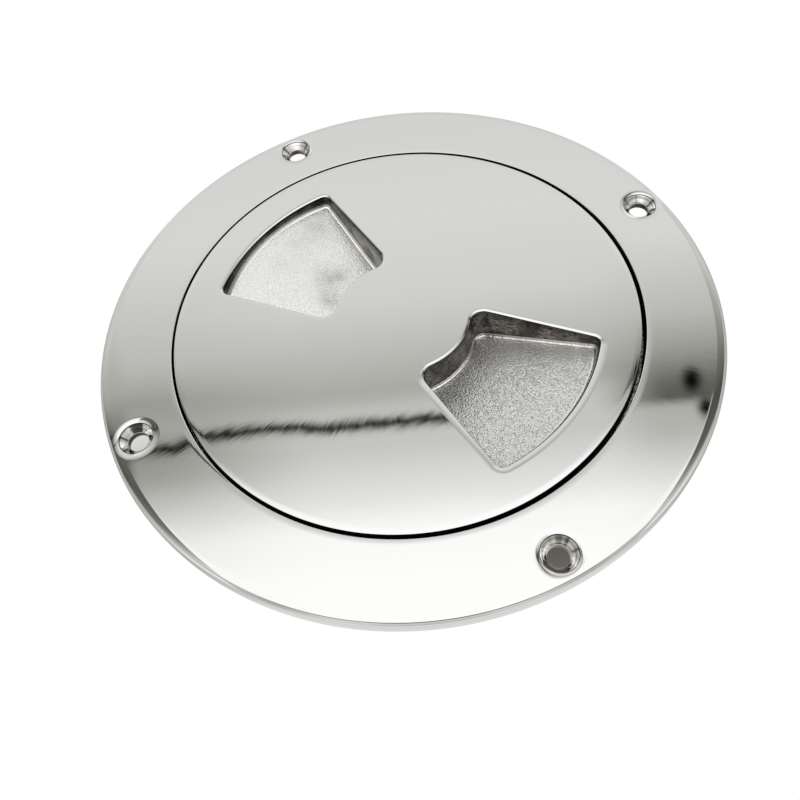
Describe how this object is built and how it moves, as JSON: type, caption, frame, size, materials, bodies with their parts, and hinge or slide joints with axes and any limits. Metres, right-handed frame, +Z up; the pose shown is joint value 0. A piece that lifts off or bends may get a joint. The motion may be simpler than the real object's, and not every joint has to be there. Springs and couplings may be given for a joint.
{
  "type": "deck inspection plate",
  "caption": "Round polished deck plate: a flange ring with countersunk screw holes and a flush screw-in lid with two fan-shaped finger pockets and a rubber seal.",
  "frame": {"origin": "middle of the screw circle in the deck face, the underside of the flange", "axes": "+Z up out of the deck along the ring's axis; the near finger pocket lies towards +X and -Y"},
  "size_m": [0.165, 0.165, 0.0155],
  "materials": {
    "polished_steel": "cast stainless steel, mirror polished on top, sand-cast grain on the pocket floors and below",
    "black_rubber": "matt black rubber"
  },
  "bodies": {
    "ring": {"flange_ring": "polished_steel"},
    "seal": {"o_ring": "black_rubber"},
    "lid": {"lid": "polished_steel"}
  },
  "joints": [
    {"name": "lid_lift", "type": "slide", "parent": "ring", "child": "seal", "axis": [0, 0, 1], "range_m": [0, 0.008]},
    {"name": "lid_turn", "type": "hinge", "parent": "seal", "child": "lid", "pos_m": [-0.00024, 0.00016, 0], "axis": [0, 0, 1], "range_deg": [0, 720]}
  ],
  "couplings": [
    {"joint": "lid_lift", "follows": "lid_turn", "m_per_rad": 0.00063662}
  ]
}
